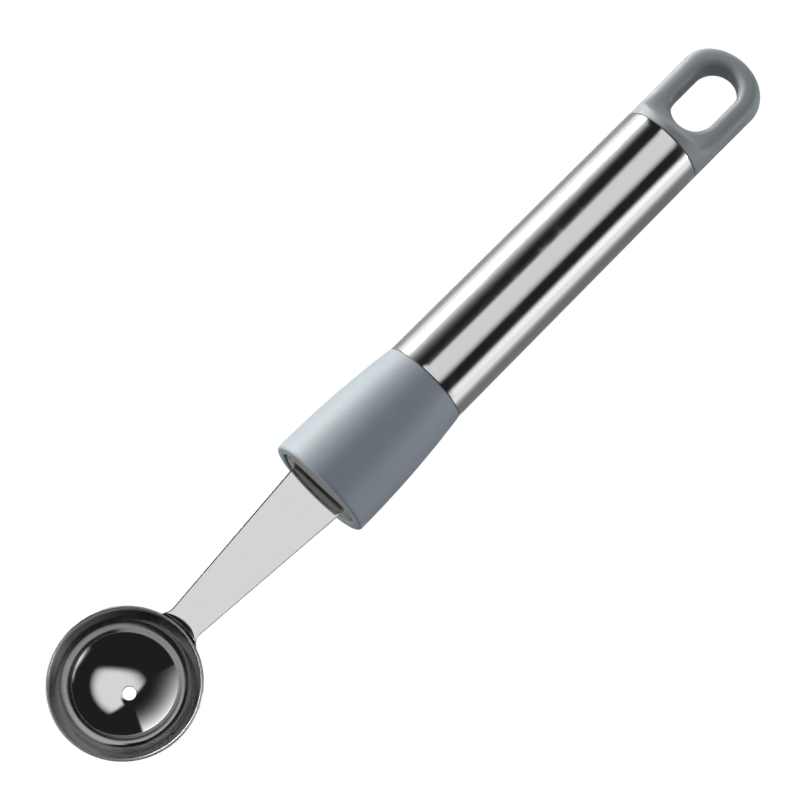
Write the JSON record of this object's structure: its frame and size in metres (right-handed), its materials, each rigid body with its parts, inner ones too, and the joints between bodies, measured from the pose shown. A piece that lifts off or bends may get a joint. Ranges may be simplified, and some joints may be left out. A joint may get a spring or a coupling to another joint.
{
  "type": "melon baller",
  "caption": "Melon baller: polished steel scoop with a drain hole on a flat tapered shank, flared grey plastic ferrule, round steel tube handle and a plastic end cap with a hanging eye.",
  "frame": {"origin": "under the middle of the tool's length and width, level with its lowest point, the ferrule's mouth", "axes": "+X along the handle from the scoop to the hanging eye, +Y across the handle, +Z out of the scoop's open side"},
  "size_m": [0.1926, 0.0306, 0.0229],
  "materials": {
    "polished_steel": "mirror-polished stainless sheet",
    "satin_steel": "fine polished stainless tube",
    "grey_plastic": "fine-grained matte blue-grey moulding",
    "pale_grey_plastic": "matte neutral grey moulding"
  },
  "bodies": {
    "root": {"scoop_bowl": "polished_steel", "shank": "polished_steel", "tang_plug": "pale_grey_plastic", "ferrule": "grey_plastic", "handle_tube": "satin_steel", "end_cap": "grey_plastic"}
  },
  "joints": []
}
